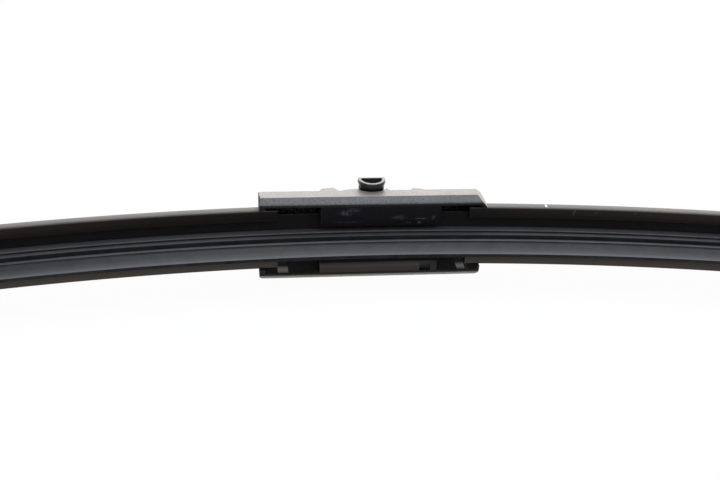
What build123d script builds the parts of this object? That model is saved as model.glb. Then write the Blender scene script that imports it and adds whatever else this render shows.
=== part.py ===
from build123d import *
import os
from math import cos, degrees, hypot, radians, sin, tan

# A flat wiper blade lying on its side: two bowed spring rails carry a rubber, two spoiler lengths clip
# over the rails, a moulded connector sits in the middle and a cap closes each end.
# X runs along the blade, -Y is the wiping side, +Y the spoiler ridge, +Z the side with the arm stub.
# All sizes are millimetres. In the sections below y = 0 is the wiping-side face of the spoiler claws
# at mid length and z = 0 is the middle plane of the blade.

# Bow of the unloaded blade: a tight middle arc that runs on into two flatter outer arcs
blade_length = 500.0
bow_radius_middle = 424.0
bow_radius_outer = 1100.0
bow_change = 80.0

# Clearance of a sliding fit, each side, and of moulded faces that stand next to each other
slide_clearance = 0.05
mould_clearance = 0.15

# Two flat spring rails, with a notch each that locates the connector
rail_width = 4.2
rail_thickness = 0.9
rail_spacing = 2.0
rail_start_y = 1.0
rail_end_margin = 4.0
notch_length = 3.0
notch_depth = 0.7
notch_x = 1.25

# Rubber: head strip above the rails, flange and rib below them, tilting web, shoulder and lip. The crests of
# the rib and the shoulder fall towards the lip.
head_half_width = 2.3
head_height = 1.45
flange_half_width = 1.85
flange_end_y = -0.89
groove_half_width = 1.0
rib_start_y = -1.72
rib_end_y = -2.5
rib_fall = 0.2
web_half_width = 0.5
shoulder_start_y = -4.15
shoulder_end_y = -4.75
shoulder_half_width = 1.62
shoulder_fall = 0.19
lip_groove_half_width = 1.12
flank_start_y = -5.2
flank_top_half_width = 1.22
lip_tip_y = -8.31
lip_half_width = 0.35
rubber_end_margin = 2.6

# Spoiler: two legs that meet at the ridge, with claws that grip the outer edges of the rails
spoiler_half_width = 6.6
claw_lip_half_gap = 4.2
claw_corner_radius = 0.4
claw_top_y = 1.9
ridge_y = 11.5
ridge_half_width = 0.6
flank_hollow = 1.0
channel_half_width = 2.55
channel_top_y = 3.9
chamber_top_y = 8.6
chamber_top_half_width = 0.4
spoiler_inner_end = 19.5

# End caps
cap_length = 18.0
cap_wall = 0.9
cap_overlap = 6.0
cap_lip_half_gap = 2.7
cap_nose_radius = 3.0
cap_fall_length = 11.0
cap_nose_y = 5.0

# Connector cover
cover_half_length = 23.2
cover_half_width = 9.2
cover_rim_y = -1.2
cover_rim_radius = 1.0
cover_wall_height = 4.05
cover_wall_lean = 8.0
cover_ridge_y = 13.4
cover_ridge_half_width = 1.8
cover_roof_hollow = 0.3
cover_inner_half_width = 7.5
cover_inner_wall_y = 3.6
cover_inner_draft = 0.1
cover_inner_top_y = 11.9
cover_inner_top_half_width = 1.3
cover_end_wall = 1.2
cover_end_rake_start_y = 4.0
cover_end_rake = 2.7
cover_corner_radius = 0.8
tail_rake_length = 2.2
tail_rake_width = 2.4
tail_setback = 0.7
window_length = 2.3
left_window_x = -18.3
right_window_x = 19.1
window_start_y = -0.8
window_sill_y = 0.3
window_end_y = 4.0
window_reach = 1.6

# Arm stub: a half-round hollow stub
stub_y = 6.0
stub_radius = 2.85
stub_waist_radius = 2.62
stub_mouth_height = 0.7
stub_mouth_flare = 0.5
stub_flat = 0.8
stub_wall = 0.75
stub_flat_wall = 0.5
stub_top_z = 10.3
stub_bore_depth = 5.5

# Tabs that carry the stub-side wall on past its upper edge: a low hump at the stub, a ramped lug on either side
tab_floor_z = 6.5
tab_root = 0.5
hump_left_x = -6.5
hump_right_x = 3.7
hump_rise = 1.6
hump_end_run = 0.7
hump_end_rise = 1.2
left_lug_inner_x = -6.85
left_lug_inner_run = 0.9
left_lug_outer_x = -11.0
left_lug_outer_run = 0.95
left_lug_rise = 2.25
left_lug_outer_rise = 1.75
right_lug_inner_x = 7.85
right_lug_inner_run = 0.65
right_lug_outer_x = 10.8
right_lug_outer_run = 0.3
right_lug_rise = 1.3
right_lug_outer_rise = 0.55

# Connector base: a block that grips under the rails and carries the stub
base_start_x = -11.0
base_end_x = 13.5
base_half_gap = 3.0
slot_overlap = 0.5
jaw_edge_z = 5.1
jaw_rise = 0.4
base_top_y = 9.2
bead_height = 0.35
bead_start_x = -6.0
bead_end_x = 8.0
bead_start_y = 1.2
bead_end_y = 1.9
recess_start_x = 9.8
recess_size = 2.3
recess_inner_z = 5.2
recess_depth = 0.3

# Derived sizes
half_length = blade_length / 2
rail_inner_z = rail_spacing / 2
rail_outer_z = rail_inner_z + rail_width
rail_end_y = rail_start_y + rail_thickness
slot_start_y = rail_start_y - slide_clearance
slot_end_y = rail_end_y + slide_clearance
change_angle = degrees(bow_change / bow_radius_middle)
middle_axis = Axis((0, -bow_radius_middle, 0), (0, 0, -1))
outer_shift = bow_radius_middle - bow_radius_outer
outer_centre_x = outer_shift * sin(radians(change_angle))
outer_centre_y = -bow_radius_middle + outer_shift * cos(radians(change_angle))
outer_axis = Axis((outer_centre_x, outer_centre_y, 0), (0, 0, -1))


def mirrored_outline(half):
    """Closes an outline given for z above zero with its mirror image below."""
    return half + [(y, -z) for y, z in reversed(half)]


def section(points):
    """Flat face across the blade from (y, z) points."""
    return Plane.YZ * make_face(Polyline(*points, close=True))


def hollow_arc(start, end, sagitta):
    """Arc between two (y, z) points that sinks towards the middle plane by the sagitta."""
    dy = end[0] - start[0]
    dz = end[1] - start[1]
    span = hypot(dy, dz)
    middle = ((start[0] + end[0]) / 2 + sagitta * dz / span, (start[1] + end[1]) / 2 - sagitta * dy / span)
    return ThreePointArc(start, middle, end)


def at_bow(shape, distance):
    """Moves a shape from mid length to an arc length on the +X side, turned with the bow."""
    placed = shape.rotate(middle_axis, degrees(min(distance, bow_change) / bow_radius_middle))
    if distance > bow_change:
        placed = placed.rotate(outer_axis, degrees((distance - bow_change) / bow_radius_outer))
    return placed


def along_bow(face, start, end):
    """Solid of a section carried along the bow between two arc lengths on the +X side."""
    pieces = []
    if start < bow_change:
        stop = min(end, bow_change)
        angle = degrees((stop - start) / bow_radius_middle)
        pieces.append(revolve(at_bow(face, start), middle_axis, angle))
    if end > bow_change:
        begin = max(start, bow_change)
        angle = degrees((end - begin) / bow_radius_outer)
        pieces.append(revolve(at_bow(face, begin), outer_axis, angle))
    solid = pieces[0]
    for piece in pieces[1:]:
        solid = solid + piece
    return solid


def whole_bow(face, reach):
    """Solid of a section carried along the bow to the same arc length on both sides."""
    middle = along_bow(face, -bow_change, bow_change)
    outer = along_bow(face, bow_change, reach)
    return middle + outer + mirror(outer, Plane.YZ)


def block(x, y, z):
    """Box between two limits on each axis."""
    size = Box(x[1] - x[0], y[1] - y[0], z[1] - z[0])
    return Pos((x[0] + x[1]) / 2, (y[0] + y[1]) / 2, (z[0] + z[1]) / 2) * size


def across(points, start_z, end_z):
    """Prism over (x, y) points between two heights."""
    face = make_face(Polyline(*points, close=True))
    return extrude(Pos(0, 0, start_z) * face, end_z - start_z, dir=(0, 0, 1))


def rail_section(clearance):
    """Section of the upper rail, grown by a clearance."""
    low = rail_inner_z - clearance
    high = rail_outer_z + clearance
    return section([(rail_start_y - clearance, low), (rail_end_y + clearance, low),
                    (rail_end_y + clearance, high), (rail_start_y - clearance, high)])


def make_rails():
    """Upper and lower spring rail, each with its locating notch."""
    upper = whole_bow(rail_section(0), half_length - rail_end_margin)
    notch = block((notch_x - notch_length / 2, notch_x + notch_length / 2),
                  (rail_start_y - 1, rail_end_y + 1), (rail_outer_z - notch_depth, rail_outer_z + 1))
    upper = upper - notch
    return upper, mirror(upper, Plane.XY)


def make_rubber():
    """One extruded rubber that the rails hold between its head strip and its flange."""
    web = rail_inner_z - slide_clearance
    half = [(slot_end_y + head_height, head_half_width), (slot_end_y, head_half_width), (slot_end_y, web),
            (slot_start_y, web), (slot_start_y, flange_half_width), (flange_end_y, flange_half_width),
            (flange_end_y, groove_half_width), (rib_start_y, groove_half_width),
            (rib_start_y, flange_half_width), (rib_end_y, flange_half_width - rib_fall),
            (rib_end_y, web_half_width),
            (shoulder_start_y, web_half_width), (shoulder_start_y, shoulder_half_width),
            (shoulder_end_y, shoulder_half_width - shoulder_fall), (shoulder_end_y, lip_groove_half_width),
            (flank_start_y, flank_top_half_width), (lip_tip_y, lip_half_width)]
    return whole_bow(section(mirrored_outline(half)), half_length - rubber_end_margin)


def spoiler_outline(grow):
    """Outer lines of the spoiler from one claw over the ridge to the other, grown by an offset."""
    side = spoiler_half_width + grow
    corner = claw_corner_radius + grow
    bend = corner * (1 - cos(radians(45)))
    top = claw_top_y + grow / 2
    ridge = (ridge_y + grow, ridge_half_width + grow / 2)
    lines = []
    for sign in (1, -1):
        lines.append(ThreePointArc((-grow, sign * (side - corner)), (-grow + bend, sign * (side - bend)),
                                   (-grow + corner, sign * side)))
        lines.append(Line((-grow + corner, sign * side), (top, sign * side)))
        if sign > 0:
            lines.append(hollow_arc((top, side), ridge, flank_hollow))
        else:
            lines.append(hollow_arc((ridge[0], -ridge[1]), (top, -side), flank_hollow))
    lines.append(Line(ridge, (ridge[0], -ridge[1])))
    return lines


def spoiler_body_section(grow):
    """Full section inside the spoiler's outer lines, closed across the claws."""
    side = spoiler_half_width - claw_corner_radius
    lines = spoiler_outline(grow) + [Line((-grow, -side), (-grow, side))]
    return Plane.YZ * make_face(lines)


def make_spoiler():
    """Right-hand spoiler length: the body less its chamber, head channel and rail slots."""
    start = spoiler_inner_end
    end = half_length - cap_length + cap_overlap
    body = along_bow(spoiler_body_section(0), start, end)
    hollow = section(mirrored_outline([(-1, claw_lip_half_gap), (slot_start_y, claw_lip_half_gap),
                                       (slot_start_y, rail_outer_z + slide_clearance),
                                       (slot_end_y, rail_outer_z + slide_clearance),
                                       (slot_end_y, channel_half_width), (channel_top_y, channel_half_width),
                                       (chamber_top_y, chamber_top_half_width)]))
    return body - along_bow(hollow, start - 1, end + 1)


def make_end_cap():
    """Right-hand cap: slips over the spoiler and the rail ends, and its ridge falls away to a rounded nose."""
    start = half_length - cap_length
    grow = cap_wall + mould_clearance
    side = spoiler_half_width + grow
    top = ridge_y + grow + 1
    shell = along_bow(spoiler_body_section(grow), start, half_length)
    fall = across([(-cap_fall_length, ridge_y + grow), (-cap_fall_length, top), (2, top), (2, cap_nose_y),
                   (0, cap_nose_y)], -20, 20)
    plan = Plane.XZ * Pos(-cap_length, 0) * RectangleRounded(2 * cap_length, 2 * side, cap_nose_radius)
    nose = extrude(Pos(0, -20, 0) * plan, 60, dir=(0, 1, 0))
    shell = (shell - at_bow(fall, half_length)) & at_bow(nose, half_length)

    pocket = along_bow(spoiler_body_section(mould_clearance), start - 1, start + cap_overlap + mould_clearance)
    slot = along_bow(rail_section(slide_clearance), start, half_length - rail_end_margin + mould_clearance)
    head_side = head_half_width + mould_clearance
    head = section(mirrored_outline([(slot_start_y, head_side),
                                     (slot_end_y + head_height + mould_clearance, head_side)]))
    mouth = section(mirrored_outline([(-4, cap_lip_half_gap), (slot_start_y, cap_lip_half_gap)]))
    rubber_end = half_length - rubber_end_margin + mould_clearance
    shell = shell - pocket - slot - mirror(slot, Plane.XY)
    return shell - along_bow(head, start, rubber_end) - along_bow(mouth, start - 1, rubber_end)


def cover_outline():
    """Outer section of the cover: bevelled and rounded rim, leaning walls and a roof up to the ridge."""
    lean = cover_wall_height * tan(radians(cover_wall_lean))
    wall = (0, cover_half_width)
    wall_top = (cover_wall_height, cover_half_width - lean)
    ridge = (cover_ridge_y, cover_ridge_half_width)
    corner_z = cover_half_width + cover_rim_y
    cut = cover_rim_radius * tan(radians(22.5))
    bevel_end = (cover_rim_y + cut * sin(radians(45)), corner_z + cut * sin(radians(45)))
    round_end = (cover_rim_y, corner_z - cut)
    centre = (cover_rim_y + cover_rim_radius, round_end[1])
    middle = (centre[0] - cover_rim_radius * cos(radians(22.5)),
              centre[1] + cover_rim_radius * sin(radians(22.5)))
    half = [ThreePointArc(round_end, middle, bevel_end), Line(bevel_end, wall), Line(wall, wall_top),
            hollow_arc(wall_top, ridge, cover_roof_hollow)]
    lines = half + [edge.mirror(Plane.XZ) for edge in half]
    lines = lines + [Line(ridge, (ridge[0], -ridge[1])), Line(round_end, (round_end[0], -round_end[1]))]
    return Plane.YZ * make_face(lines)


def cover_plan():
    """Plan of the cover in x and z: rounded corners, one raked corner and a slanted tail end."""
    reach = cover_half_length
    side = cover_half_width
    rounded = [(-reach, side), (-reach, -side), (reach - tail_setback, -side)]
    points = rounded + [(reach, side - tail_rake_width), (reach - tail_rake_length, side)]
    face = make_face(Polyline(*points, close=True))
    corners = [v for v in face.vertices() for x, z in rounded if abs(v.X - x) + abs(v.Y - z) < 0.01]
    return Plane.XZ * fillet(corners, cover_corner_radius)


def cover_side_outline(inset):
    """Side view of the cover in x and y, pulled in at both ends."""
    half = cover_half_length - inset
    rake = half - cover_end_rake
    return [(-half, cover_rim_y - 1), (half, cover_rim_y - 1), (half, cover_end_rake_start_y),
            (rake, cover_ridge_y + 1), (-rake, cover_ridge_y + 1), (-half, cover_end_rake_start_y)]


def wall_tab(outline):
    """Tab over an outline in x and y whose top is in the plane of the stub-side wall."""
    lean = tan(radians(cover_wall_lean))
    under = section([(-5, 0), (-5, cover_half_width + 5 * lean), (20, cover_half_width - 20 * lean), (20, 0)])
    limit = Pos(-cover_half_length, 0, 0) * extrude(under, 2 * cover_half_length, dir=(1, 0, 0))
    return extrude(Pos(0, 0, tab_floor_z) * make_face(outline), cover_half_width, dir=(0, 0, 1)) & limit


def make_lug(inner, inner_run, outer, outer_run, rise, outer_rise):
    """Ramped lug: highest near the stub and lower at its outer end."""
    sign = 1 if outer > inner else -1
    edge = cover_wall_height
    points = [(inner, edge - tab_root), (inner, edge), (inner + sign * inner_run, edge + rise),
              (outer - sign * outer_run, edge + outer_rise), (outer, edge), (outer, edge - tab_root)]
    return wall_tab(Polyline(*points, close=True))


def make_hump():
    """Low hump in the wall's upper edge around the root of the stub."""
    edge = cover_wall_height
    left = (hump_left_x, edge)
    right = (hump_right_x, edge)
    shoulder = (hump_right_x - hump_end_run, edge + hump_end_rise)
    middle = ((left[0] + shoulder[0]) / 2, edge + hump_rise)
    low = edge - tab_root
    lines = [ThreePointArc(left, middle, shoulder), Line(shoulder, right), Line(right, (right[0], low)),
             Line((right[0], low), (left[0], low)), Line((left[0], low), left)]
    return wall_tab(lines)


def make_cover():
    """Moulded cover over the base and the inner ends of both spoilers."""
    reach = cover_half_length
    body = Pos(-reach, 0, 0) * extrude(cover_outline(), 2 * reach, dir=(1, 0, 0))
    body = body & extrude(Pos(0, -20, 0) * cover_plan(), 60, dir=(0, 1, 0))
    body = body & across(cover_side_outline(0), -20, 20)

    body = body + make_hump()
    body = body + make_lug(left_lug_inner_x, left_lug_inner_run, left_lug_outer_x, left_lug_outer_run,
                           left_lug_rise, left_lug_outer_rise)
    body = body + make_lug(right_lug_inner_x, right_lug_inner_run, right_lug_outer_x, right_lug_outer_run,
                           right_lug_rise, right_lug_outer_rise)

    cavity_half = [(cover_rim_y - 1, cover_inner_half_width),
                   (cover_inner_wall_y, cover_inner_half_width - cover_inner_draft),
                   (cover_inner_top_y, cover_inner_top_half_width)]
    cavity = Pos(-reach, 0, 0) * extrude(section(mirrored_outline(cavity_half)), 2 * reach, dir=(1, 0, 0))
    cavity = cavity & across(cover_side_outline(cover_end_wall), -20, 20)
    hole = half_round(stub_radius + mould_clearance, stub_flat + mould_clearance)
    hole = Pos(0, stub_y, 0) * extrude(hole, 2 * cover_half_width, dir=(0, 0, 1))
    body = body - cavity - hole

    mouth_low = Plane.YZ * Pos(-2, 0) * Rectangle(6, 2 * (spoiler_half_width + mould_clearance))
    mouth = along_bow(spoiler_body_section(mould_clearance), spoiler_inner_end, reach + 3)
    mouth = mouth + along_bow(mouth_low, spoiler_inner_end, reach + 3)
    body = body - mouth - mirror(mouth, Plane.YZ)

    window_inner_z = window_reach - cover_inner_half_width
    window = section([(window_start_y, window_inner_z), (window_start_y, -cover_inner_half_width),
                      (window_sill_y, -cover_half_width), (window_sill_y, -cover_half_width - 1),
                      (window_end_y, -cover_half_width - 1), (window_end_y, window_inner_z)])
    for centre in (left_window_x, right_window_x):
        body = body - Pos(centre - window_length / 2, 0, 0) * extrude(window, window_length, dir=(1, 0, 0))
    for sign in (1, -1):
        inner = cover_inner_half_width - 0.5
        outer = cover_inner_half_width + bead_height
        body = body - block((bead_start_x - slide_clearance, bead_end_x + slide_clearance),
                            (bead_start_y - slide_clearance, bead_end_y + slide_clearance),
                            sorted((sign * inner, sign * outer)))
    return body


def half_round(radius, flat):
    """Half-round outline with its straight edge on the ridge side."""
    disc = Circle(radius)
    return disc & Pos(0, flat - radius) * Rectangle(4 * radius, 2 * radius)


def make_base():
    """Block that grips under the rails, with the hollow half-round stub for the wiper arm."""
    side = cover_inner_half_width - slide_clearance
    wall_side = side - cover_inner_draft
    fall = cover_inner_half_width - cover_inner_draft - cover_inner_top_half_width
    slope = fall / (cover_inner_top_y - cover_inner_wall_y)
    top_z = wall_side - slope * (base_top_y - cover_inner_wall_y) - mould_clearance
    outline = [(cover_rim_y + jaw_rise, base_half_gap), (cover_rim_y, jaw_edge_z), (cover_rim_y, side),
               (cover_inner_wall_y - mould_clearance, wall_side), (base_top_y, top_z)]
    length = base_end_x - base_start_x
    body = Pos(base_start_x, 0, 0) * extrude(section(mirrored_outline(outline)), length, dir=(1, 0, 0))

    mouth_start = stub_top_z - stub_mouth_height
    profile = [(0, 0), (stub_waist_radius, 0), (stub_waist_radius, mouth_start - stub_mouth_flare),
               (stub_radius, mouth_start), (stub_radius, stub_top_z), (0, stub_top_z)]
    stub = revolve(Plane.XZ * make_face(Polyline(*profile, close=True)), Axis.Z)
    stub = Pos(0, stub_y, 0) * (stub & block((-5, 5), (-5, stub_flat), (0, stub_top_z)))
    bore_radius = stub_radius - stub_wall
    bore = half_round(bore_radius, stub_flat - stub_flat_wall)
    bore = Pos(0, stub_y, stub_top_z - stub_bore_depth) * extrude(bore, stub_bore_depth + 1, dir=(0, 0, 1))
    body = body + stub - bore

    upper_slot = along_bow(rail_section(slide_clearance), base_start_x - 2, base_end_x + 2)
    key = block((notch_x - notch_length / 2 + slide_clearance, notch_x + notch_length / 2 - slide_clearance),
                (-5, 10), (rail_outer_z - notch_depth + slide_clearance, 20))
    upper_slot = upper_slot - key
    head = section([(slot_start_y, -head_half_width - mould_clearance),
                    (slot_end_y + head_height + mould_clearance, -head_half_width - mould_clearance),
                    (slot_end_y + head_height + mould_clearance, head_half_width + mould_clearance),
                    (slot_start_y, head_half_width + mould_clearance)])
    gap = section([(-6, -base_half_gap), (slot_start_y + slot_overlap, -base_half_gap),
                   (slot_start_y + slot_overlap, base_half_gap), (-6, base_half_gap)])
    body = body - upper_slot - mirror(upper_slot, Plane.XY)
    body = body - along_bow(head, base_start_x - 2, base_end_x + 2)
    body = body - along_bow(gap, base_start_x - 2, base_end_x + 2)

    for sign in (1, -1):
        body = body + block((bead_start_x, bead_end_x), (bead_start_y, bead_end_y),
                            sorted((sign * (side - 1), sign * (side + bead_height))))
    recess = block((recess_start_x, recess_start_x + recess_size), (cover_rim_y - 1, cover_rim_y + recess_depth),
                   (-recess_inner_z - recess_size, -recess_inner_z))
    return body - recess


upper_rail, lower_rail = make_rails()
right_spoiler = make_spoiler()
right_end_cap = make_end_cap()
pieces = {
    "upper_spring_rail": upper_rail,
    "lower_spring_rail": lower_rail,
    "wiper_rubber": make_rubber(),
    "right_spoiler": right_spoiler,
    "left_spoiler": mirror(right_spoiler, Plane.YZ),
    "right_end_cap": right_end_cap,
    "left_end_cap": mirror(right_end_cap, Plane.YZ),
    "connector_base": make_base(),
    "connector_cover": make_cover(),
}

# The frame's origin is on the stub's axis, at the flat end of the stub
os.makedirs("parts", exist_ok=True)
for name, piece in pieces.items():
    placed = Pos(0, -stub_y, -stub_top_z) * piece
    solids = placed.solids()
    print(name, "solids", len(solids), "volume", round(sum(s.volume for s in solids), 1))
    export_step(placed, f"parts/{name}.step")
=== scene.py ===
# %% [markdown]
# A flat wiper blade lies on its side on white paper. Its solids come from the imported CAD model, in metres.
# They could be dressed with materials alone, but their edges are sharp, and they have no map for the lines
# that run along the bow. So each solid is replaced by a mesh of the same form, with small radii on its edges
# and the surface that the eye expects: moulded grain, a drawn elastomer, dusty rubber.

# %% Load the CAD frame
import math
import bmesh
import bpy
from mathutils import Matrix, Vector


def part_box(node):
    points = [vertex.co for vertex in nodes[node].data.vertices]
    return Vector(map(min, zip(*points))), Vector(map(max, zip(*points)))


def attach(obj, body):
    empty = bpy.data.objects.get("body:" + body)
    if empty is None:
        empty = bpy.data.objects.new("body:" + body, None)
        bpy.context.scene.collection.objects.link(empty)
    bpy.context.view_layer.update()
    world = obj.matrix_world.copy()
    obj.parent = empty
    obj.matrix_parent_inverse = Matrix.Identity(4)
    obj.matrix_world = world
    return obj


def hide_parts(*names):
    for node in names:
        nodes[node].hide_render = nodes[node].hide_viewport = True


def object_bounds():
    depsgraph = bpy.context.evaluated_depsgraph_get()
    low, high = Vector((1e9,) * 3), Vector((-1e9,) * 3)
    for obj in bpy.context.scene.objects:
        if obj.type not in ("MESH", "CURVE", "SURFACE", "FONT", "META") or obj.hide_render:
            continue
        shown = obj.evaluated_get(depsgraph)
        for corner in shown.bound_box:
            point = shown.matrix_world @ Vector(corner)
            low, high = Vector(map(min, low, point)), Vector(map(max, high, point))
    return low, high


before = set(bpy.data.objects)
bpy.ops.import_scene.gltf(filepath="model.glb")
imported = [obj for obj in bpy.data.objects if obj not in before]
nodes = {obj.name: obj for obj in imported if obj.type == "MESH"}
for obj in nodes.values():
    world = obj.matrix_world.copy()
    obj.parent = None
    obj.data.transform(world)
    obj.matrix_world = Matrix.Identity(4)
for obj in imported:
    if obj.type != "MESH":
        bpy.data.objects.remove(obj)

MM = 0.001
cad_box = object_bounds()
print("CAD nodes:", ", ".join(sorted(nodes)))
print("CAD box in mm:", [round((high - low) / MM, 1) for low, high in zip(*cad_box)])

# %% [markdown]
# The camera comes first, because every later choice is judged through it. The picture was taken from the
# lip side, about 28 degrees above the table and slightly from the left, with the camera tilted a little.
# A camera could be placed by eye. Here it is fitted to the blade's long edges, which gives the distance and
# a focal length in pixels.

# %% Camera
IMAGE_WIDTH = 720
FOCAL_PIXELS = 1052.9
SENSOR_MM = 36
CAMERA_DISTANCE = 215.05 * MM
azimuth = math.radians(-7.84)
elevation = math.radians(28.05)
roll = math.radians(2.54)
target = Vector((-2.66, -6.0, -10.96)) * MM

reach = math.cos(elevation)
back = Vector((math.sin(azimuth) * reach, -math.cos(azimuth) * reach, math.sin(elevation)))
across = Vector((math.cos(azimuth), math.sin(azimuth), 0))
upright = back.cross(across)
right = across * math.cos(roll) + upright * math.sin(roll)
up = upright * math.cos(roll) - across * math.sin(roll)

camera_data = bpy.data.cameras.new("picture_camera")
camera_data.sensor_fit = "HORIZONTAL"
camera_data.sensor_width = SENSOR_MM
camera_data.lens = SENSOR_MM * FOCAL_PIXELS / IMAGE_WIDTH
camera_data.clip_start = 0.01
camera_data.clip_end = 20
camera = bpy.data.objects.new("picture_camera", camera_data)
turn = Matrix((right, up, back)).transposed().to_4x4()
camera.matrix_world = Matrix.Translation(target + back * CAMERA_DISTANCE) @ turn
bpy.context.scene.collection.objects.link(camera)
bpy.context.scene.camera = camera
print("camera lens", round(camera_data.lens, 2), "mm")

# %% [markdown]
# Every material and every node tree below is built by one small function. It adds a node, sets its
# properties and sockets by name or number, and links its inputs, where a node stands for its first output.
# Colours are written as sRGB hex values, as a picker shows them, and are turned to linear values.

# %% Node and colour helpers
def add_node(tree, kind, settings=None, links=None):
    """Adds one node with its settings and links."""
    node = tree.nodes.new(kind)
    for name, value in (settings or {}).items():
        if isinstance(name, int) or name in node.inputs:
            node.inputs[name].default_value = value
        else:
            setattr(node, name, value)
    for name, source in (links or {}).items():
        socket = source.outputs[0] if isinstance(source, bpy.types.Node) else source
        tree.links.new(socket, node.inputs[name])
    return node


def linear(hex_colour):
    """Linear colour of an sRGB hex value."""
    channels = [int(hex_colour[i:i + 2], 16) / 255 for i in (1, 3, 5)]
    return [c / 12.92 if c <= 0.04045 else ((c + 0.055) / 1.055) ** 2.4 for c in channels] + [1.0]


def new_material(name):
    """Empty node material and its tree."""
    material = bpy.data.materials.new(name)
    material.use_nodes = True
    material.node_tree.nodes.clear()
    return material, material.node_tree


print("mid grey is", round(linear("#808080")[0], 3), "in linear light")

# %% [markdown]
# A used blade has small marks: a nick, hair-thin scratches, specks and scuffs, and a patch of painted light
# lies inside the cover. They could be painted into an image, but a few nodes keep them sharp at any distance.
# Each mark is a soft ellipse with its own place, half sizes and turn, which lets another colour through. A
# Mapping node of the Texture kind makes the ellipse a unit ball, and a spherical gradient fades it from its
# centre. Scuffs and the patch of painted light are broken up by a fine noise, since scuffs only lie on the
# peaks of the grain.

# %% Small marks
def add_marks(tree, colour, coordinates, marks, mark_colour, speckle_mm=None):
    """Colour with soft marks, each given by centre and half sizes in mm, turn in degrees and strength."""
    specks = None
    if marks and speckle_mm:
        speckle = add_node(tree, "ShaderNodeTexNoise",
                           {"Scale": 1 / (speckle_mm * MM), "Detail": 4.0, "Roughness": 0.7},
                           {"Vector": coordinates})
        specks = add_node(tree, "ShaderNodeMapRange", {"From Min": 0.42, "From Max": 0.62},
                          {"Value": speckle})
    for centre_mm, half_sizes_mm, turn_deg, strength in marks:
        place = add_node(tree, "ShaderNodeMapping",
                         {"vector_type": "TEXTURE", "Location": Vector(centre_mm) * MM,
                          "Rotation": (0, 0, math.radians(turn_deg)), "Scale": Vector(half_sizes_mm) * MM},
                         {"Vector": coordinates})
        ball = add_node(tree, "ShaderNodeTexGradient", {"gradient_type": "SPHERICAL"}, {"Vector": place})
        share = add_node(tree, "ShaderNodeMapRange", {"From Max": 0.6, "To Max": strength},
                         {"Value": ball.outputs["Fac"]})
        if specks:
            share = add_node(tree, "ShaderNodeMath", {"operation": "MULTIPLY"}, {0: share, 1: specks})
        mixed = add_node(tree, "ShaderNodeMix", {"data_type": "RGBA", 7: linear(mark_colour)},
                         {"Factor": share, 6: colour})
        colour = mixed.outputs[2]
    return colour


# %% [markdown]
# The moulded pieces and the coated rails share one recipe: a black that wanders between two tones, a fine
# grain that also breaks up the gloss, and a soft sheen where the grain is coarse. Spark-eroded moulds have
# craters of about 0.1 mm. That is too fine to show here, so the grain is drawn at 0.3 mm or more.

# %% Black surface with a fine grain
def grained_black(name, tones, roughness, specular, sheen, grain_mm, depth_mm, marks=()):
    """Black moulded or coated surface with a fine grain and speckled pale marks."""
    material, tree = new_material(name)
    place = add_node(tree, "ShaderNodeTexCoord").outputs["Object"]
    grain = add_node(tree, "ShaderNodeTexNoise",
                     {"Scale": 1 / (grain_mm * MM), "Detail": 3.0, "Roughness": 0.6}, {"Vector": place})
    cloud = add_node(tree, "ShaderNodeTexNoise", {"Scale": 1 / (9 * MM), "Detail": 2.0}, {"Vector": place})
    mottle = add_node(tree, "ShaderNodeMix", {"data_type": "FLOAT", "Factor": 0.75}, {"A": cloud, "B": grain})
    tint = add_node(tree, "ShaderNodeValToRGB", None, {"Fac": mottle})
    for element, position, tone in zip(tint.color_ramp.elements, (0.36, 0.64), tones):
        element.position = position
        element.color = linear(tone)
    surface = add_marks(tree, tint, place, marks, "#8d8a90", speckle_mm=0.5)
    gloss = add_node(tree, "ShaderNodeMapRange", {"To Min": roughness - 0.06, "To Max": roughness + 0.06},
                     {"Value": grain})
    bump = add_node(tree, "ShaderNodeBump", {"Strength": 1.0, "Distance": depth_mm * MM}, {"Height": grain})
    shader = add_node(tree, "ShaderNodeBsdfPrincipled",
                      {"IOR": 1.5, "Specular IOR Level": specular, "Sheen Weight": sheen,
                       "Sheen Roughness": 0.35, "Sheen Tint": linear("#fff6f0")},
                      {"Base Color": surface, "Roughness": gloss, "Normal": bump})
    add_node(tree, "ShaderNodeOutputMaterial", None, {"Surface": shader})
    return material


# %% [markdown]
# The cover and the end caps are black polyester (PBT). Their outside comes from a spark-eroded mould, and
# the rims and the inside from a plain one, so one solid needs several finishes, picked face by face.

# %% Finishes of the cover and the caps
# Coarse grain with sheen: dark from the front, pale where light glances off it
cover_plastic = grained_black("grained_pbt_cover", ("#0c0c0d", "#464648"), roughness=0.43, specular=0.85,
                              sheen=1.0, grain_mm=0.3, depth_mm=0.06)
# Smooth and dull: the rim stays a dark line under the pale bevel
rim_plastic = grained_black("smooth_pbt_cover_rim", ("#1e1d1f", "#232224"), roughness=0.6, specular=0.2,
                            sheen=0.0, grain_mm=0.5, depth_mm=0.01)
# Plain, and paler than the real inside, with a patch of painted light opposite the slit under the rim, so
# that the slit isn't quite black
painted_slit_light = [((0, 5.5, -9.6), (80, 6, 3.0), 0, 1.0)]
inside_plastic = grained_black("plain_pbt_cover_inside", ("#434244", "#494849"), roughness=0.6, specular=0.3,
                               sheen=0.0, grain_mm=0.5, depth_mm=0.01, marks=painted_slit_light)
# Shallower grain than the cover's: an even, dark satin
cap_plastic = grained_black("grained_pbt_end_cap", ("#191919", "#1e1e1f"), roughness=0.5, specular=0.5,
                            sheen=0.3, grain_mm=0.3, depth_mm=0.02)
print("PBT finishes:", cover_plastic.name, rim_plastic.name, inside_plastic.name, cap_plastic.name)

# %% [markdown]
# The base is acetal (POM), a slippery plastic with a satin surface. Its front is scuffed by handling, and the
# stub has a smooth end, because it turns in the arm. The rails are spring steel, dipped in a black coat.

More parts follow.
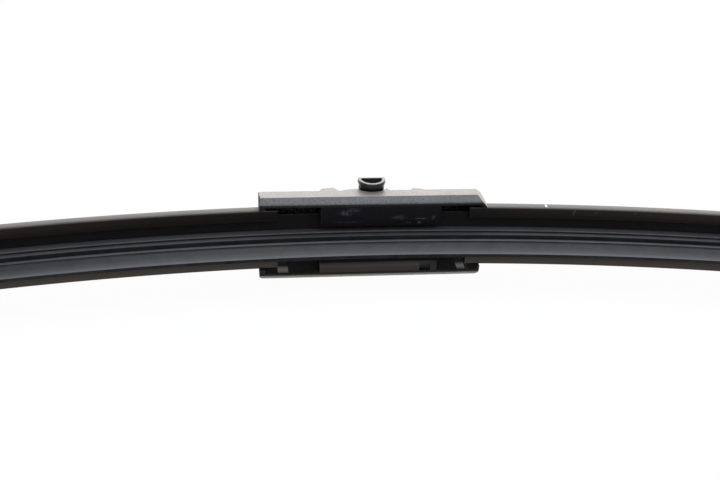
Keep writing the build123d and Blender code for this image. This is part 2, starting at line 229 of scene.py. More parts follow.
# %% Finishes of the base and the rails
# Satin: a soft, dark mirror of the table
base_plastic = grained_black("satin_pom_base", ("#151416", "#1a181b"), roughness=0.36, specular=0.35,
                             sheen=0.0, grain_mm=0.5, depth_mm=0.008)
# Polished: small bright highlights on the end of the stub
stub_plastic = grained_black("polished_pom_stub_end", ("#2a292b", "#302f31"), roughness=0.2, specular=0.6,
                             sheen=0.3, grain_mm=0.5, depth_mm=0.004)
# Nearly black, with pale speckled scuffs
scuffs = [((-5.9, -7.2, -4.2), (1.6, 2, 0.7), 0, 0.22),
          ((-4.4, -7.2, -3.6), (1.6, 2, 0.7), 0, 0.14),
          ((-5.4, -7.2, -6.27), (3.4, 2, 0.14), 0, 0.30),
          ((5.0, -7.2, -5.4), (2.0, 2, 0.6), 0, 0.16),
          ((6.9, -7.2, -6.7), (1.1, 2, 0.12), 0, 0.30),
          ((9.3, -7.2, -6.7), (0.6, 2, 0.35), 0, 0.60),
          ((9.4, -7.2, -5.7), (1.4, 2, 0.25), 0, 0.30),
          ((12.0, -7.2, -5.4), (0.5, 2, 0.8), 0, 0.20)]
worn_plastic = grained_black("worn_pom_base_front", ("#131016", "#18151a"), roughness=0.45, specular=0.28,
                             sheen=0.0, grain_mm=0.5, depth_mm=0.008, marks=scuffs)
# Matt: the jaws beside the rubber show no highlight
jaw_plastic = grained_black("matt_pom_base_jaws", ("#110f13", "#151317"), roughness=0.6, specular=0.1,
                            sheen=0.0, grain_mm=0.5, depth_mm=0.01)
# Matt and paler: the floor of the recess mirrors nothing
recess_plastic = grained_black("matt_pom_base_recess", ("#3a393b", "#403f41"), roughness=0.6, specular=0.1,
                               sheen=0.0, grain_mm=0.5, depth_mm=0.01)
# An even dull black, with a faint waviness of the coat
rail_steel = grained_black("black_dipped_spring_steel", ("#161417", "#1a181b"), roughness=0.45, specular=0.25,
                           sheen=0.0, grain_mm=0.6, depth_mm=0.004)
print("base and rail finishes:", base_plastic.name, stub_plastic.name, worn_plastic.name, jaw_plastic.name,
      recess_plastic.name, rail_steel.name)

# %% [markdown]
# The spoilers are a thermoplastic elastomer (TPE), drawn through a die, so their surface carries faint lines
# along the blade. Object coordinates would run straight through the bow. The swept pieces below carry a UV
# map in metres, along the blade and around the section, so that the lines follow it. Real die lines are
# finer than 0.1 mm and are drawn 0.3 mm apart, to show.

# %% Extruded elastomer
def extruded_tpe(name, tones, roughness, specular, painted_shade_colour, painted_shade_bands, marks):
    """Elastomer with die lines, a cloudy bloom, bands of painted shade and small pale marks."""
    material, tree = new_material(name)
    sweep = add_node(tree, "ShaderNodeUVMap", {"uv_map": "sweep"})
    stretch = add_node(tree, "ShaderNodeMapping", {"Scale": (1 / (40 * MM), 1 / (0.3 * MM), 1.0)},
                       {"Vector": sweep})
    lines = add_node(tree, "ShaderNodeTexNoise", {"noise_dimensions": "2D", "Scale": 1.0, "Detail": 2.0},
                     {"Vector": stretch})
    place = add_node(tree, "ShaderNodeTexCoord").outputs["Object"]
    cloud = add_node(tree, "ShaderNodeTexNoise", {"Scale": 1 / (6 * MM), "Detail": 5.0, "Roughness": 0.65},
                     {"Vector": place})
    bloom = add_node(tree, "ShaderNodeMapRange", {"From Min": 0.35, "From Max": 0.75}, {"Value": cloud})
    tint = add_node(tree, "ShaderNodeMix", {"data_type": "RGBA", 6: linear(tones[0]), 7: linear(tones[1])},
                    {"Factor": bloom})
    # Bands of painted shade first, then the small pale marks
    with_painted_shade = add_marks(tree, tint.outputs[2], sweep, painted_shade_bands, painted_shade_colour)
    surface = add_marks(tree, with_painted_shade, sweep, marks, "#e6e1de")
    gloss = add_node(tree, "ShaderNodeMapRange", {"To Min": roughness - 0.05, "To Max": roughness + 0.05},
                     {"Value": lines})
    bump = add_node(tree, "ShaderNodeBump", {"Strength": 1.0, "Distance": 0.004 * MM}, {"Height": lines})
    shader = add_node(tree, "ShaderNodeBsdfPrincipled", {"IOR": 1.5, "Specular IOR Level": specular},
                      {"Base Color": surface, "Roughness": gloss, "Normal": bump})
    add_node(tree, "ShaderNodeOutputMaterial", None, {"Surface": shader})
    return material


# %% [markdown]
# The wiping rubber is dusted with graphite so that it slides. The dust turns black rubber to a bluish grey
# with a soft shine. The cut edge of the lip is bare. Right beside it a pale painted highlight runs along the
# lip and fades into painted shade up the flank. Further up, the crests carry painted light and the grooves
# painted shade. It could be painted on vertices, but the section is the same all along, so a ramp gives its
# colour by the distance from the lip.

# %% Graphite-dusted rubber
# Tones around the section: a bare cut edge, a painted highlight beside the lip, painted shade up the flank
# and in the grooves, painted light on the crests, and a lighter flange
CUT_EDGE = "#161617"
PAINTED_LIP_HIGHLIGHT = "#4c4e52"
PAINTED_FLANK_FADE = "#303134"
FLANK = "#1d1e20"
CREST_PAINTED_LIGHT = "#2a2b2e"
GROOVE_PAINTED_SHADE = "#191a1b"
FLANGE = "#38393c"
RAMP_LENGTH_MM = 16
dust_and_painted_light_stops = ((0.0, CUT_EDGE), (0.32, CUT_EDGE), (0.4, PAINTED_LIP_HIGHLIGHT), (1.2, PAINTED_FLANK_FADE), (2.4, FLANK),
              (3.8, FLANK), (4.2, CREST_PAINTED_LIGHT), (4.8, CREST_PAINTED_LIGHT), (5.0, GROOVE_PAINTED_SHADE), (8.3, GROOVE_PAINTED_SHADE), (8.5, CREST_PAINTED_LIGHT),
              (9.2, CREST_PAINTED_LIGHT), (9.4, GROOVE_PAINTED_SHADE), (11.4, GROOVE_PAINTED_SHADE), (11.6, FLANGE))


def graphite_rubber(name, lip_at_mm):
    """Rubber with die lines, graphite dust and painted light and shade, whose lip is at a given place around
    the section.
    """
    material, tree = new_material(name)
    sweep = add_node(tree, "ShaderNodeUVMap", {"uv_map": "sweep"})
    stretch = add_node(tree, "ShaderNodeMapping", {"Scale": (1 / (30 * MM), 1 / (0.3 * MM), 1.0)},
                       {"Vector": sweep})
    lines = add_node(tree, "ShaderNodeTexNoise", {"noise_dimensions": "2D", "Scale": 1.0, "Detail": 2.0},
                     {"Vector": stretch})
    around = add_node(tree, "ShaderNodeSeparateXYZ", None, {"Vector": sweep})
    offset = add_node(tree, "ShaderNodeMath", {"operation": "SUBTRACT", 1: lip_at_mm * MM},
                      {0: around.outputs["Y"]})
    distance = add_node(tree, "ShaderNodeMath", {"operation": "ABSOLUTE"}, {0: offset})
    share = add_node(tree, "ShaderNodeMapRange", {"From Max": RAMP_LENGTH_MM * MM}, {"Value": distance})
    ramp = add_node(tree, "ShaderNodeValToRGB", None, {"Fac": share})
    for _ in dust_and_painted_light_stops[2:]:
        ramp.color_ramp.elements.new(1.0)
    for element, (position_mm, tone) in zip(ramp.color_ramp.elements, dust_and_painted_light_stops):
        element.position = position_mm / RAMP_LENGTH_MM
        element.color = linear(tone)
    place = add_node(tree, "ShaderNodeTexCoord").outputs["Object"]
    cloud = add_node(tree, "ShaderNodeTexNoise", {"Scale": 1 / (3 * MM), "Detail": 6.0, "Roughness": 0.7},
                     {"Vector": place})
    dust = add_node(tree, "ShaderNodeMapRange",
                    {"From Min": 0.3, "From Max": 0.8, "To Min": 0.0, "To Max": 0.2}, {"Value": cloud})
    tint = add_node(tree, "ShaderNodeMix", {"data_type": "RGBA", 7: linear("#57595d")},
                    {"Factor": dust, 6: ramp})
    gloss = add_node(tree, "ShaderNodeMapRange", {"To Min": 0.30, "To Max": 0.40}, {"Value": lines})
    bump = add_node(tree, "ShaderNodeBump", {"Strength": 1.0, "Distance": 0.006 * MM}, {"Height": lines})
    shader = add_node(tree, "ShaderNodeBsdfPrincipled", {"IOR": 1.5, "Specular IOR Level": 0.28},
                      {"Base Color": tint.outputs[2], "Roughness": gloss, "Normal": bump})
    add_node(tree, "ShaderNodeOutputMaterial", None, {"Surface": shader})
    return material


print("dust ramp:", len(dust_and_painted_light_stops), "stops over", RAMP_LENGTH_MM, "mm from the lip")

# %% [markdown]
# The rubber and the spoilers keep one section over their whole length and follow the bow of the unloaded
# blade. They could be extruded and bent with a modifier, but the bow has two radii. It is a rule, so a
# Geometry Nodes tree makes them: a section curve is carried along a straight line, and each point is then
# bent onto a tight middle arc that runs on into a flatter outer arc. The tree's inputs are its sizes.

# %% Inputs of the bow tree
bow_tree = bpy.data.node_groups.new("sweep along the bow", "GeometryNodeTree")
for name, kind in (("Section", "NodeSocketObject"), ("Start", "NodeSocketFloat"), ("End", "NodeSocketFloat"),
                   ("Step", "NodeSocketFloat"), ("Middle radius", "NodeSocketFloat"),
                   ("Outer radius", "NodeSocketFloat"), ("Change", "NodeSocketFloat"),
                   ("Origin", "NodeSocketVector"), ("Material", "NodeSocketMaterial")):
    bow_tree.interface.new_socket(name=name, in_out="INPUT", socket_type=kind)
bow_tree.interface.new_socket(name="Mesh", in_out="OUTPUT", socket_type="NodeSocketGeometry")
given = add_node(bow_tree, "NodeGroupInput").outputs
print("bow tree inputs:", ", ".join(socket.name for socket in given if socket.name))

# %% [markdown]
# The straight sweep comes first. The distance around the section is kept on its points before the sweep,
# because it would be lost in the mesh, and is stored with the place along the blade as a UV map.

# %% Straight sweep with its map
section = add_node(bow_tree, "GeometryNodeObjectInfo", None, {"Object": given["Section"]})
kept = add_node(bow_tree, "GeometryNodeCaptureAttribute", {"domain": "POINT"},
                {"Geometry": section.outputs["Geometry"]})
kept.capture_items.new("FLOAT", "Around")
around = add_node(bow_tree, "GeometryNodeSplineParameter")
bow_tree.links.new(around.outputs["Length"], kept.inputs["Around"])
first = add_node(bow_tree, "ShaderNodeCombineXYZ", None, {"X": given["Start"]})
last = add_node(bow_tree, "ShaderNodeCombineXYZ", None, {"X": given["End"]})
line = add_node(bow_tree, "GeometryNodeCurvePrimitiveLine", None, {"Start": first, "End": last})
steps = add_node(bow_tree, "GeometryNodeResampleCurve", {"mode": "LENGTH"},
                 {"Curve": line, "Length": given["Step"]})
sweep = add_node(bow_tree, "GeometryNodeCurveToMesh", {"Fill Caps": True},
                 {"Curve": steps, "Profile Curve": kept})
position = add_node(bow_tree, "GeometryNodeInputPosition")
spot = add_node(bow_tree, "ShaderNodeSeparateXYZ", None, {"Vector": position})
map_place = add_node(bow_tree, "ShaderNodeCombineXYZ", None,
                     {"X": spot.outputs["X"], "Y": kept.outputs["Around"]})
mapped = add_node(bow_tree, "GeometryNodeStoreNamedAttribute",
                  {"data_type": "FLOAT2", "domain": "CORNER", "Name": "sweep"},
                  {"Geometry": sweep, "Value": map_place})
print("straight sweep:", len(bow_tree.nodes), "nodes so far")

# %% [markdown]
# Then the bend. A point up to the change of radius turns about the middle centre. Beyond it, the point goes
# on turning about the outer centre, which is on the line through the place of the change and the middle
# centre, so that the two arcs meet without a kink.

# %% Bend onto the two arcs
low = add_node(bow_tree, "ShaderNodeMath", {"operation": "MULTIPLY", 1: -1.0}, {0: given["Change"]})
middle = add_node(bow_tree, "ShaderNodeClamp", None,
                  {"Value": spot.outputs["X"], "Min": low, "Max": given["Change"]})
beyond = add_node(bow_tree, "ShaderNodeMath", {"operation": "SUBTRACT"}, {0: spot.outputs["X"], 1: middle})
bend = add_node(bow_tree, "ShaderNodeMath", {"operation": "DIVIDE"}, {0: middle, 1: given["Middle radius"]})
more = add_node(bow_tree, "ShaderNodeMath", {"operation": "DIVIDE"}, {0: beyond, 1: given["Outer radius"]})
slope = add_node(bow_tree, "ShaderNodeMath", {"operation": "ADD"}, {0: bend, 1: more})
gap = add_node(bow_tree, "ShaderNodeMath", {"operation": "SUBTRACT"},
               {0: given["Middle radius"], 1: given["Outer radius"]})
radius = add_node(bow_tree, "ShaderNodeMath", {"operation": "ADD"},
                  {0: given["Outer radius"], 1: spot.outputs["Y"]})
sides = []
for wave in ("SINE", "COSINE"):
    near = add_node(bow_tree, "ShaderNodeMath", {"operation": wave}, {0: bend})
    far = add_node(bow_tree, "ShaderNodeMath", {"operation": wave}, {0: slope})
    outer = add_node(bow_tree, "ShaderNodeMath", {"operation": "MULTIPLY"}, {0: radius, 1: far})
    side = add_node(bow_tree, "ShaderNodeMath", {"operation": "MULTIPLY_ADD"}, {0: gap, 1: near, 2: outer})
    sides.append(side)
fall = add_node(bow_tree, "ShaderNodeMath", {"operation": "SUBTRACT"},
                {0: sides[1], 1: given["Middle radius"]})
bent = add_node(bow_tree, "ShaderNodeCombineXYZ", None, {"X": sides[0], "Y": fall, "Z": spot.outputs["Z"]})
placed = add_node(bow_tree, "GeometryNodeSetPosition", None,
                  {"Geometry": mapped, "Position": bent, "Offset": given["Origin"]})
real = add_node(bow_tree, "GeometryNodeRealizeInstances", None, {"Geometry": placed})
painted = add_node(bow_tree, "GeometryNodeSetMaterial", None,
                   {"Geometry": real, "Material": given["Material"]})
add_node(bow_tree, "NodeGroupOutput", None, {"Mesh": painted})
print("bow tree:", len(bow_tree.nodes), "nodes")

# %% [markdown]
# A section is drawn as points in millimetres, y towards the ridge and z towards the stub side. Real edges
# are never sharp, so each corner may have a radius, which the eye reads as a thin line of light.

# %% Outlines with rounded corners
def rounded(points, steps=4):
    """Closed outline from (y, z, radius) corners, with an arc in each corner that has a radius."""
    outline = []
    for index, (y, z, radius) in enumerate(points):
        here = Vector((y, z))
        before = Vector(points[index - 1][:2])
        after = Vector(points[(index + 1) % len(points)][:2])
        if radius == 0:
            outline.append(here)
            continue
        into = (before - here).normalized()
        out = (after - here).normalized()
        half = into.angle(out) / 2
        cut = radius / math.tan(half)
        centre = here + (into + out).normalized() * radius / math.sin(half)
        start = here + into * cut - centre
        turn_angle = start.angle_signed(here + out * cut - centre)
        for step in range(steps + 1):
            angle = -turn_angle * step / steps
            outline.append(centre + Matrix.Rotation(angle, 2) @ start)
    return outline


def mirrored(half):
    """Whole outline from its half above the middle plane."""
    return half + [(y, -z, radius) for y, z, radius in reversed(half)]


square_outline = rounded([(0, 0, 1), (0, 9, 1), (9, 9, 1), (9, 0, 1)])
print("a square with four rounded corners has", len(square_outline), "points")

# %% [markdown]
# Two more helpers: one draws the hollow flank of a spoiler as a shallow arc, and one tells how far around a
# section a place is, so that a mark can be put there on the UV map.

# %% Hollow flanks and places on an outline
def hollow(start, end, sagitta, steps=12):
    """Points inside a line that sinks towards the middle plane in an arc."""
    span = Vector(end) - Vector(start)
    inward = Vector((span.y, -span.x)).normalized()
    spots = []
    for step in range(1, steps):
        t = step / steps
        spot = Vector(start) + span * t + inward * sagitta * 4 * t * (1 - t)
        spots.append((spot.x, spot.y, 0))
    return spots


def around_at(outline, y, z):
    """Distance in mm along an outline, from its first point, to the place that is nearest to (y, z)."""
    spot = Vector((y, z))
    walked, nearest, found = 0.0, 1e9, 0.0
    for a, b in zip(outline, outline[1:]):
        run = b - a
        share = min(max((spot - a).dot(run) / run.length_squared, 0), 1)
        miss = (a + run * share - spot).length
        if miss < nearest:
            nearest, found = miss, walked + run.length * share
        walked += run.length
    return found


print("the far corner of that square is", round(around_at(square_outline, 9, 9), 2), "mm around it")

# %% [markdown]
# The tree runs as a modifier on an empty mesh, and its result is turned into a plain mesh, because the export
# needs one. The modifier's inputs are set by their identifiers. The frame's origin is on the arm stub, so the
# blade's middle lies below it and on the wiping side.

# %% Sweep of a section along the bow
ORIGIN = Vector((0, -6.0, -10.3)) * MM
BOW = {"Middle radius": 424 * MM, "Outer radius": 1100 * MM, "Change": 80 * MM, "Origin": ORIGIN}
SWEEP_STEP = 2.5 * MM


def link(name, data):
    """New object in the scene."""
    thing = bpy.data.objects.new(name, data)
    bpy.context.scene.collection.objects.link(thing)
    return thing


def swept_piece(name, outline, start_mm, end_mm, material):
    """Mesh object of a section carried along the bow between two arc lengths."""
    curve = bpy.data.curves.new(name + "_section", "CURVE")
    curve.dimensions = "2D"
    curve.fill_mode = "NONE"
    spline = curve.splines.new("POLY")
    spline.points.add(len(outline) - 1)
    for point, (y, z) in zip(spline.points, outline):
        point.co = (-y * MM, -z * MM, 0, 1)
    spline.use_cyclic_u = True
    section = link(name + "_section", curve)

    carrier = link(name + "_sweep", bpy.data.meshes.new(name + "_sweep"))
    modifier = carrier.modifiers.new("bow", "NODES")
    modifier.node_group = bow_tree
    values = {"Section": section, "Start": start_mm * MM, "End": end_mm * MM, "Step": SWEEP_STEP,
              "Material": material, **BOW}
    for item in bow_tree.interface.items_tree:
        if item.in_out == "INPUT":
            modifier[item.identifier] = values[item.name]
    bpy.context.view_layer.update()
    finished = carrier.evaluated_get(bpy.context.evaluated_depsgraph_get())
    mesh = bpy.data.meshes.new_from_object(finished)
    mesh.name = name
    carrier.modifiers.remove(modifier)
    bpy.data.objects.remove(carrier)
    bpy.data.objects.remove(section)
    return link(name, mesh)


print("bow: radius", round(BOW["Middle radius"] / MM), "mm in the middle,", round(BOW["Outer radius"] / MM),
      "mm further out")

# %% [markdown]
# Each finished piece is smoothed between its sharp edges and takes the place of its CAD node. Its box is
# compared with the node's, to see that the dressing changed no size.

# %% Putting a piece in its node's place
def finish_piece(piece, node, smooth_deg=35):
    """Smooths a piece between its sharp edges, puts it in its node's place and prints how well it fits."""
    mesh = piece.data
    mesh.polygons.foreach_set("use_smooth", [True] * len(mesh.polygons))
    mesh.set_sharp_from_angle(angle=math.radians(smooth_deg))
    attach(piece, "root")
    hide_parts(node)
    low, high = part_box(node)
    miss = 0
    for axis in range(3):
        places = [corner[axis] for corner in piece.bound_box]
        miss = max(miss, abs(min(places) - low[axis]), abs(max(places) - high[axis]))
    print(piece.name, len(mesh.polygons), "faces, box within", round(miss / MM, 3), "mm of its CAD node")


# %% [markdown]
# The wiping rubber is one extrusion: a head strip above the rails, a flange and a rib below them, a thin web
# that lets the lip tilt, a shoulder and the tapering lip. Its small grooves and crests are what the eye sees
# as fine lines beside the lip, so they are drawn in the section, and the painted light and shade only follow
# them.

# %% Rubber
LIP_Y = -8.31
rubber_half = [(3.4, 2.3, 0.3), (1.95, 2.3, 0.2), (1.95, 0.95, 0), (0.95, 0.95, 0), (0.95, 1.85, 0.15),
               (-0.89, 1.85, 0.2), (-0.89, 1.0, 0.15), (-1.72, 1.0, 0.15), (-1.72, 1.85, 0.08),
               (-2.5, 1.65, 0.1), (-2.5, 0.5, 0.2), (-4.15, 0.5, 0.2), (-4.15, 1.62, 0.08),
               (-4.75, 1.43, 0.08), (-4.75, 1.12, 0.05), (-5.2, 1.22, 0.08), (LIP_Y, 0.35, 0.05)]
rubber_outline = rounded(mirrored(rubber_half))
# Bluish grey with a soft shine, with painted shade in the grooves and a painted highlight beside the lip
blade_rubber = graphite_rubber("graphite_dusted_rubber", around_at(rubber_outline, LIP_Y, 0))
rubber = swept_piece("wiper_rubber_extrusion", rubber_outline, -247.4, 247.4, blade_rubber)
finish_piece(rubber, "wiper_rubber")

# %% [markdown]
# A spoiler length has two hollow flanks that meet at the ridge. Its claws wrap round the outer edges of the
# rails, so its section is one line that goes from the ridge down a flank, round a claw and back through the
# chamber. The flanks carry a thin bloom. The front of the upper claw has none, and a band of painted shade
# darkens it along the whole length. The right spoiler has a nick, three scratches and two specks.

# %% Spoilers
RIDGE = (11.5, 0.6)
CLAW_OUTER_Z = 6.6
flank = hollow((1.9, CLAW_OUTER_Z), RIDGE, 1.0)
spoiler_half = [(*RIDGE, 0.3)] + flank[::-1] + [
    (1.9, CLAW_OUTER_Z, 0), (0.0, CLAW_OUTER_Z, 0.3), (0.0, 4.2, 0.15), (0.95, 4.2, 0.1), (0.95, 5.25, 0),
    (1.95, 5.25, 0), (1.95, 2.55, 0.1), (3.9, 2.55, 0.3), (8.6, 0.4, 0)]
spoiler_outline = rounded(mirrored(spoiler_half))
nick_at = around_at(spoiler_outline, 1.1, CLAW_OUTER_Z)
front_at = around_at(spoiler_outline, 0.0, 5.5)
# Painted shade: a dark band along the whole front of the upper claw
painted_shade_band = [((0, front_at - 0.1, 0), (1000, 2, 1000), 0, 1.0)]
spoiler_marks = [((35.4, nick_at, 0), (0.3, 0.8, 1000), 0, 0.9),
                 ((41.0, front_at + 0.1, 0), (0.1, 0.55, 1000), -4, 0.12),
                 ((41.2, front_at - 0.5, 0), (0.1, 0.45, 1000), 12, 0.14),
                 ((45.6, front_at - 0.2, 0), (0.1, 0.8, 1000), 42, 0.045),
                 ((53.7, front_at - 0.45, 0), (0.14, 0.14, 1000), 0, 0.12),
                 ((56.7, front_at - 0.25, 0), (0.12, 0.12, 1000), 0, 0.09)]
# A warm black satin with a long soft highlight on the flank
spoiler_tpe = extruded_tpe("extruded_tpe_spoiler", ("#1f1917", "#231d1b"), 0.38, 0.56, "#16110f", painted_shade_band,
                           spoiler_marks)
right_spoiler = swept_piece("right_spoiler_extrusion", spoiler_outline, 19.5, 238.0, spoiler_tpe)
finish_piece(right_spoiler, "right_spoiler")
left_spoiler = swept_piece("left_spoiler_extrusion", spoiler_outline, -238.0, -19.5, spoiler_tpe)
finish_piece(left_spoiler, "left_spoiler")

# %% [markdown]
# The moulded pieces and the rails keep the exact shape of their solids. They could be modelled again, but a
# welded copy of each node is truer. Its outer edges get a small radius, as a mould or a coat gives them, so
# that they catch the light. A Bevel modifier with an angle limit would also take edges that have no room for
# a radius. So the edges are picked first: none where a short edge crosses, on the seam of block and cover,
# round the windows or at the recess.

# %% Edges that take a radius
SEAM_Z = 7.48


def has_room(edge, reach):
    """True where no short edge crosses this one at its ends, so that a radius fits there."""
    for corner in edge.verts:
        onward = (corner.co - edge.other_vert(corner).co).normalized()
        for other in corner.link_edges:
            run = other.other_vert(corner).co - corner.co
            if other is not edge and run.length < reach and run.normalized().dot(onward) < 0.7:
                return False
    return True


def is_tight(edge):
    """True on the connector's seam, round its windows and at its recess, in mm from the blade's middle."""
    x, y, z = ((edge.verts[0].co + edge.verts[1].co) / 2 - ORIGIN) / MM
    on_seam = abs(x) < 25 and abs(abs(z) - SEAM_Z) < 0.15
    at_window = 15 < abs(x) < 22 and -1.0 < y < 4.2 and z < -7
    at_recess = 9 < x < 13 and y < -0.7 and z < -5
    return on_seam or at_window or at_recess


def takes_radius(edge, edge_mm):
    """True for an outward edge of more than 25 degrees with room for its radius."""
    is_outward = edge.is_manifold and edge.is_convex and edge.calc_face_angle() > math.radians(25)
    return is_outward and has_room(edge, 2.1 * edge_mm * MM) and not is_tight(edge)


print("the seam of block and cover is", SEAM_Z, "mm from the middle plane")

# %% [markdown]
# A mould has polished, eroded and plain areas, so a face gets its finish from where it is and which way it
# looks. The wiping side is -Y, and the numbers are places in the list of the piece's materials.

# %% Finish of each face
STUB_SMOOTH_Z = -1.6 * MM
WORN_TOP_Z = -2.5 * MM
RECESS_FLOOR_Y = -6.9 * MM


def cover_finish(face):
    """0 for the grained outside of the cover, 1 for its smooth rim and square end, 2 for its plain inside."""
    middle = face.calc_center_median()
    side = math.copysign(1, middle.z - ORIGIN.z)
    end = math.copysign(1, middle.x)
    on_rim = face.normal.y < -0.93 and middle.y < ORIGIN.y
    if on_rim or (face.normal.x < -0.7 and end < 0):
        return 1
    looks_in = face.normal.y < -0.93 or face.normal.z * side < -0.1 or face.normal.x * end < -0.5
    return 2 if looks_in else 0


def base_finish(face):
    """0 for satin faces, 1 for the stub's end, 2 for the worn front, 3 for the jaws, 4 for the recess."""
    middle = face.calc_center_median()
    if middle.z > STUB_SMOOTH_Z:
        return 1
    if face.normal.y > -0.9:
        return 0
    if middle.z > ORIGIN.z:
        return 2 if middle.z < WORN_TOP_Z else 0
    if face.normal.z > 0.1:
        return 3
    return 4 if middle.x > 0 and abs(middle.y - RECESS_FLOOR_Y) < 0.05 * MM else 0


def plain_finish(face):
    """One finish for the whole piece."""
    return 0


print("the smooth end of the stub is", round(-STUB_SMOOTH_Z / MM, 1), "mm long")

# %% [markdown]
# Now the copies are made. Vertices that meet are merged first, because a CAD mesh is loose triangles, and
# flat faces are joined, so that the radii run along whole edges. Weighted normals let the flat faces stay
# flat beside the small radii.

# %% Moulded pieces and rails
def moulded_piece(node, materials, edge_mm, finish):
    """Welded copy of a CAD node whose outer edges have a small radius, with a finish picked for each face."""
    form = bmesh.new()
    form.from_mesh(nodes[node].data)
    bmesh.ops.remove_doubles(form, verts=form.verts, dist=0.02 * MM)
    bmesh.ops.dissolve_degenerate(form, edges=form.edges, dist=0.01 * MM)
    bmesh.ops.dissolve_limit(form, angle_limit=math.radians(0.3), verts=form.verts, edges=form.edges)
    outer = [edge for edge in form.edges if takes_radius(edge, edge_mm)]
    bmesh.ops.bevel(form, geom=outer, offset=edge_mm * MM, offset_type="OFFSET", segments=2, profile=0.5,
                    affect="EDGES", clamp_overlap=False)
    for face in form.faces:
        face.material_index = finish(face)
    mesh = bpy.data.meshes.new(node + "_moulding")
    form.to_mesh(mesh)
    form.free()
    for material in materials:
        mesh.materials.append(material)
    return link(node + "_moulding", mesh)


cover_materials = (cover_plastic, rim_plastic, inside_plastic)
base_materials = (base_plastic, stub_plastic, worn_plastic, jaw_plastic, recess_plastic)
for node, slot, materials, edge_mm, finish in (
        ("connector_cover", "connector_cover", cover_materials, 0.12, cover_finish),
        ("connector_base", "connector_base", base_materials, 0.14, base_finish),
        ("left_end_cap", "end_cap", (cap_plastic,), 0.12, plain_finish),
        ("right_end_cap", "end_cap", (cap_plastic,), 0.12, plain_finish),
        ("upper_spring_rail", "spring_rail", (rail_steel,), 0.15, plain_finish),
        ("lower_spring_rail", "spring_rail", (rail_steel,), 0.15, plain_finish)):
    piece = moulded_piece(node, materials, edge_mm, finish)
    finish_piece(piece, node, 40)
    even_normals = piece.modifiers.new("even_normals", "WEIGHTED_NORMAL")
    even_normals.keep_sharp = True
    even_normals.weight = 100

# %% [markdown]
# The blade lies on white paper. In so bright a picture the camera sees the paper as plain white, with only a
# trace of the blade's shadow. More lamps could burn it out, but they would burn out the plastic too, so most
# of its white is an emission that the camera sees. Under the cover the paper's colour is darkened into a
# painted shadow, which shows through the two windows, and there it has no such emission. The painted shadow
# fades out behind the cover.

# %% Paper and the shade under the cover
table_mesh = bpy.data.meshes.new("table")
table_mesh.from_pydata([(-3, -3, 0), (3, -3, 0), (3, 3, 0), (-3, 3, 0)], [], [(0, 1, 2, 3)])
table_mesh.transform(Matrix.Translation((0, 0, cad_box[0].z - 0.05 * MM)))
table = link("table", table_mesh)

# Uncoated paper: a matt white with faint fibres
paper, tree = new_material("white_paper")
table_mesh.materials.append(paper)
fibre = add_node(tree, "ShaderNodeTexNoise", {"Scale": 1 / (2 * MM), "Detail": 4.0})
grey = add_node(tree, "ShaderNodeValToRGB", None, {"Fac": fibre})
grey.color_ramp.elements[0].color = linear("#e4e4e4")
grey.color_ramp.elements[1].color = linear("#e9e9e9")
place = add_node(tree, "ShaderNodeTexCoord").outputs["Object"]
spot = add_node(tree, "ShaderNodeSeparateXYZ", None, {"Vector": place})
x, y = spot.outputs["X"], spot.outputs["Y"]
along = add_node(tree, "ShaderNodeMath", {"operation": "COMPARE", 1: 0.0, 2: 22 * MM}, {0: x})
past_front = add_node(tree, "ShaderNodeMath", {"operation": "GREATER_THAN", 1: -4.5 * MM}, {0: y})
fade = add_node(tree, "ShaderNodeMapRange",
                {"From Min": -1.0 * MM, "From Max": 2.5 * MM, "To Min": 1.0, "To Max": 0.0}, {"Value": y})
across = add_node(tree, "ShaderNodeMath", {"operation": "MULTIPLY"}, {0: past_front, 1: fade})
under_cover = add_node(tree, "ShaderNodeMath", {"operation": "MULTIPLY"}, {0: along, 1: across})
# Painted shadow: the paper's colour turns dark under the cover, deepest furthest back under it
deepness = add_node(tree, "ShaderNodeMapRange",
                    {"From Min": -3.4 * MM, "From Max": -1.0 * MM, "To Min": 0.53, "To Max": 0.94},
                    {"Value": y})
painted_shadow = add_node(tree, "ShaderNodeMath", {"operation": "MULTIPLY"}, {0: under_cover, 1: deepness})
painted_shadow_colour = add_node(tree, "ShaderNodeMix", {"data_type": "RGBA", 7: linear("#000000")},
                  {"Factor": painted_shadow, 6: grey})
matt = add_node(tree, "ShaderNodeBsdfDiffuse", None, {"Color": painted_shadow_colour.outputs[2]})
ray = add_node(tree, "ShaderNodeLightPath")
seen = add_node(tree, "ShaderNodeMath", {"operation": "ADD", "use_clamp": True},
                {0: ray.outputs["Is Camera Ray"], 1: ray.outputs["Is Transmission Ray"]})
whiteness = add_node(tree, "ShaderNodeMix", {"data_type": "FLOAT", "A": 0.96, "B": 0.0},
                     {"Factor": under_cover})
glow = add_node(tree, "ShaderNodeMath", {"operation": "MULTIPLY"}, {0: seen, 1: whiteness})
white = add_node(tree, "ShaderNodeEmission", {"Color": linear("#ffffff"), "Strength": 1.0})
plain = add_node(tree, "ShaderNodeMixShader", None, {"Fac": glow, 1: matt, 2: white})
print("table at", round(cad_box[0].z / MM, 2), "mm")

# %% [markdown]
# The faces that look at the camera mirror the table in front of the blade: the low ones mirror the paper at
# their foot, and the high ones what lies further off. So for such rays the paper glows bright up to the lip,
# and just in front of it a painted dark stands in for the room. That painted dark is deepest before the
# connector, and under the cover the painted glow is dim. The lip follows the bow, so the fall of the arc,
# x squared over twice the radius, is taken off first.

# %% What the blade mirrors
square = add_node(tree, "ShaderNodeMath", {"operation": "POWER", 1: 2.0}, {0: x})
from_bow = add_node(tree, "ShaderNodeMath", {"operation": "MULTIPLY_ADD", 1: 0.5 / BOW["Middle radius"]},
                    {0: square, 2: y})
aside = add_node(tree, "ShaderNodeMath", {"operation": "ABSOLUTE"}, {0: x})
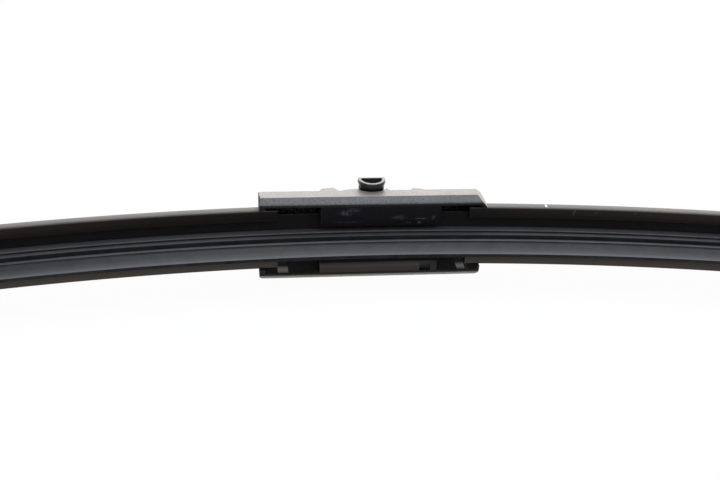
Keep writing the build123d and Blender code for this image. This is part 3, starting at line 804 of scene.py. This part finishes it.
# Painted reflection: a dark that stands in for the room, darkest before the connector
painted_room_dark = add_node(tree, "ShaderNodeMapRange",
                {"From Min": 20 * MM, "From Max": 70 * MM, "To Min": 0.04, "To Max": 0.32}, {"Value": aside})
lit = add_node(tree, "ShaderNodeMapRange", {"From Min": -18 * MM, "From Max": -13 * MM, "To Max": 1.0},
               {"Value": from_bow, "To Min": painted_room_dark})
hidden = add_node(tree, "ShaderNodeMapRange",
                  {"From Min": -4.5 * MM, "From Max": -1.0 * MM, "To Min": 0.20, "To Max": 0.06},
                  {"Value": y})
strength = add_node(tree, "ShaderNodeMix", {"data_type": "FLOAT"},
                    {"Factor": under_cover, "A": lit, "B": hidden})
mirror_glow = add_node(tree, "ShaderNodeEmission", {"Color": linear("#fff2e6")}, {"Strength": strength})
mixed = add_node(tree, "ShaderNodeMixShader", None,
                 {"Fac": ray.outputs["Is Glossy Ray"], 1: plain, 2: mirror_glow})
add_node(tree, "ShaderNodeOutputMaterial", None, {"Surface": mixed})
print("paper material:", len(tree.nodes), "nodes")

# %% [markdown]
# Three soft lights and a weak, even sky. A long light stands behind the blade, and its glow glances off every
# face that looks up, so the cover's wall is nearly white. A large one overhead gives the bevel and the lip
# their grey. A weak one behind the camera reaches into the slits. Camera rays see the sky as white, so that
# low views have a white background too.

# %% Lights and sky
def soft_light(name, place_mm, aim_mm, width_mm, height_mm, watts, colour):
    """Rectangular soft light that faces a point."""
    data = bpy.data.lights.new(name, "AREA")
    data.shape = "RECTANGLE"
    data.size = width_mm * MM
    data.size_y = height_mm * MM
    data.energy = watts
    data.color = linear(colour)[:3]
    lamp = link(name, data)
    way = (Vector(aim_mm) - Vector(place_mm)).normalized()
    facing = way.to_track_quat("-Z", "Y").to_matrix().to_4x4()
    lamp.matrix_world = Matrix.Translation(Vector(place_mm) * MM) @ facing


soft_light("back_softbox", (60, 540, 200), (0, 0, -10), 900, 400, 4.4, "#fffaf4")
soft_light("front_fill", (0, -800, 430), (0, 0, 0), 1400, 320, 1.8, "#ffffff")
soft_light("overhead_softbox", (130, -70, 620), (0, 0, -10), 900, 860, 6.8, "#f4f8ff")

world = bpy.data.worlds.new("studio")
bpy.context.scene.world = world
world.use_nodes = True
tree = world.node_tree
tree.nodes.clear()
ray = add_node(tree, "ShaderNodeLightPath")
brightness = add_node(tree, "ShaderNodeMapRange", {"To Min": 0.22, "To Max": 1.0},
                      {"Value": ray.outputs["Is Camera Ray"]})
sky = add_node(tree, "ShaderNodeBackground", {"Color": linear("#ffffff")}, {"Strength": brightness})
add_node(tree, "ShaderNodeOutputWorld", None, {"Surface": sky})
print("lights:", ", ".join(light.name for light in bpy.data.lights))

# %% [markdown]
# The view transform is Standard, so that a colour shows about as it is written.

# %% View
bpy.context.scene.view_settings.view_transform = "Standard"
